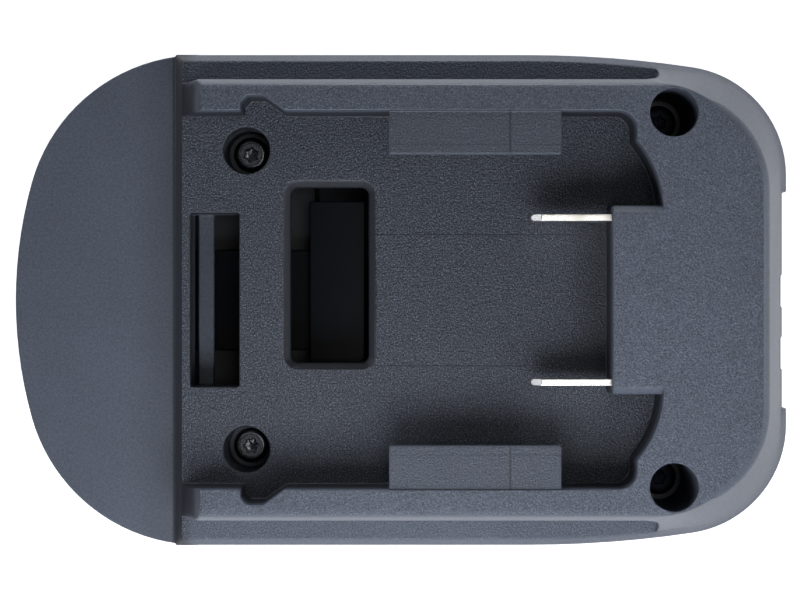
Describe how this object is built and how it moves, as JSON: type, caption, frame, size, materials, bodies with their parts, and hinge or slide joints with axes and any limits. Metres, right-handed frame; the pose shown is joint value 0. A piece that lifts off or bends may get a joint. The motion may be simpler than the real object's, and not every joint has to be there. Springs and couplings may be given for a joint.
{
  "type": "battery adapter",
  "caption": "Slide-on battery adapter: open railed pocket with two blades on top, railed slide block with contact clips below, spring release latch in the nose.",
  "frame": {"origin": "under the middle of the body, on the bottom face of the slide block that the adapter rests on", "axes": "+X towards the terminal end, -X towards the nose with the release button, +Z towards the side that takes the battery"},
  "size_m": [0.1194, 0.076, 0.044],
  "materials": {
    "shell_plastic": "fine spark texture",
    "panel_plastic": "smooth matte",
    "carrier_plastic": "plain moulded",
    "latch_plastic": "polished",
    "button_plastic": "smooth satin",
    "plated_brass": "bright nickel plate",
    "zinc_steel": "zinc plate",
    "black_steel": "black oxide",
    "spring_steel": "drawn wire",
    "red_insulation": "silicone",
    "black_insulation": "silicone",
    "sleeve_rubber": "shrink sleeve"
  },
  "bodies": {
    "housing": {"battery_side_shell": "shell_plastic", "tool_side_shell": "shell_plastic", "end_panel": "panel_plastic", "blade_positive": "plated_brass", "blade_negative": "plated_brass", "blade_carrier": "carrier_plastic", "blade_carrier_screws": "zinc_steel", "clip_positive": "plated_brass", "clip_negative": "plated_brass", "clip_carrier": "carrier_plastic", "clip_carrier_screws": "zinc_steel", "lead_positive": "red_insulation", "lead_negative": "black_insulation", "blade_sleeve_positive": "sleeve_rubber", "blade_sleeve_negative": "sleeve_rubber", "clip_sleeve_positive": "sleeve_rubber", "clip_sleeve_negative": "sleeve_rubber", "latch_spring_left": "spring_steel", "latch_spring_right": "spring_steel", "shell_screws_front": "black_steel", "shell_screws_rear": "black_steel"},
    "latch": {"release_latch": "latch_plastic", "release_button": "button_plastic", "button_screws": "zinc_steel"}
  },
  "joints": [
    {"name": "latch_slide", "type": "slide", "parent": "housing", "child": "latch", "axis": [0, 0, 1], "range_m": [0, 0.0048], "stiffness_N_per_m": 2100, "springref_m": -0.0015, "deforming": ["latch_spring_left", "latch_spring_right"]}
  ]
}
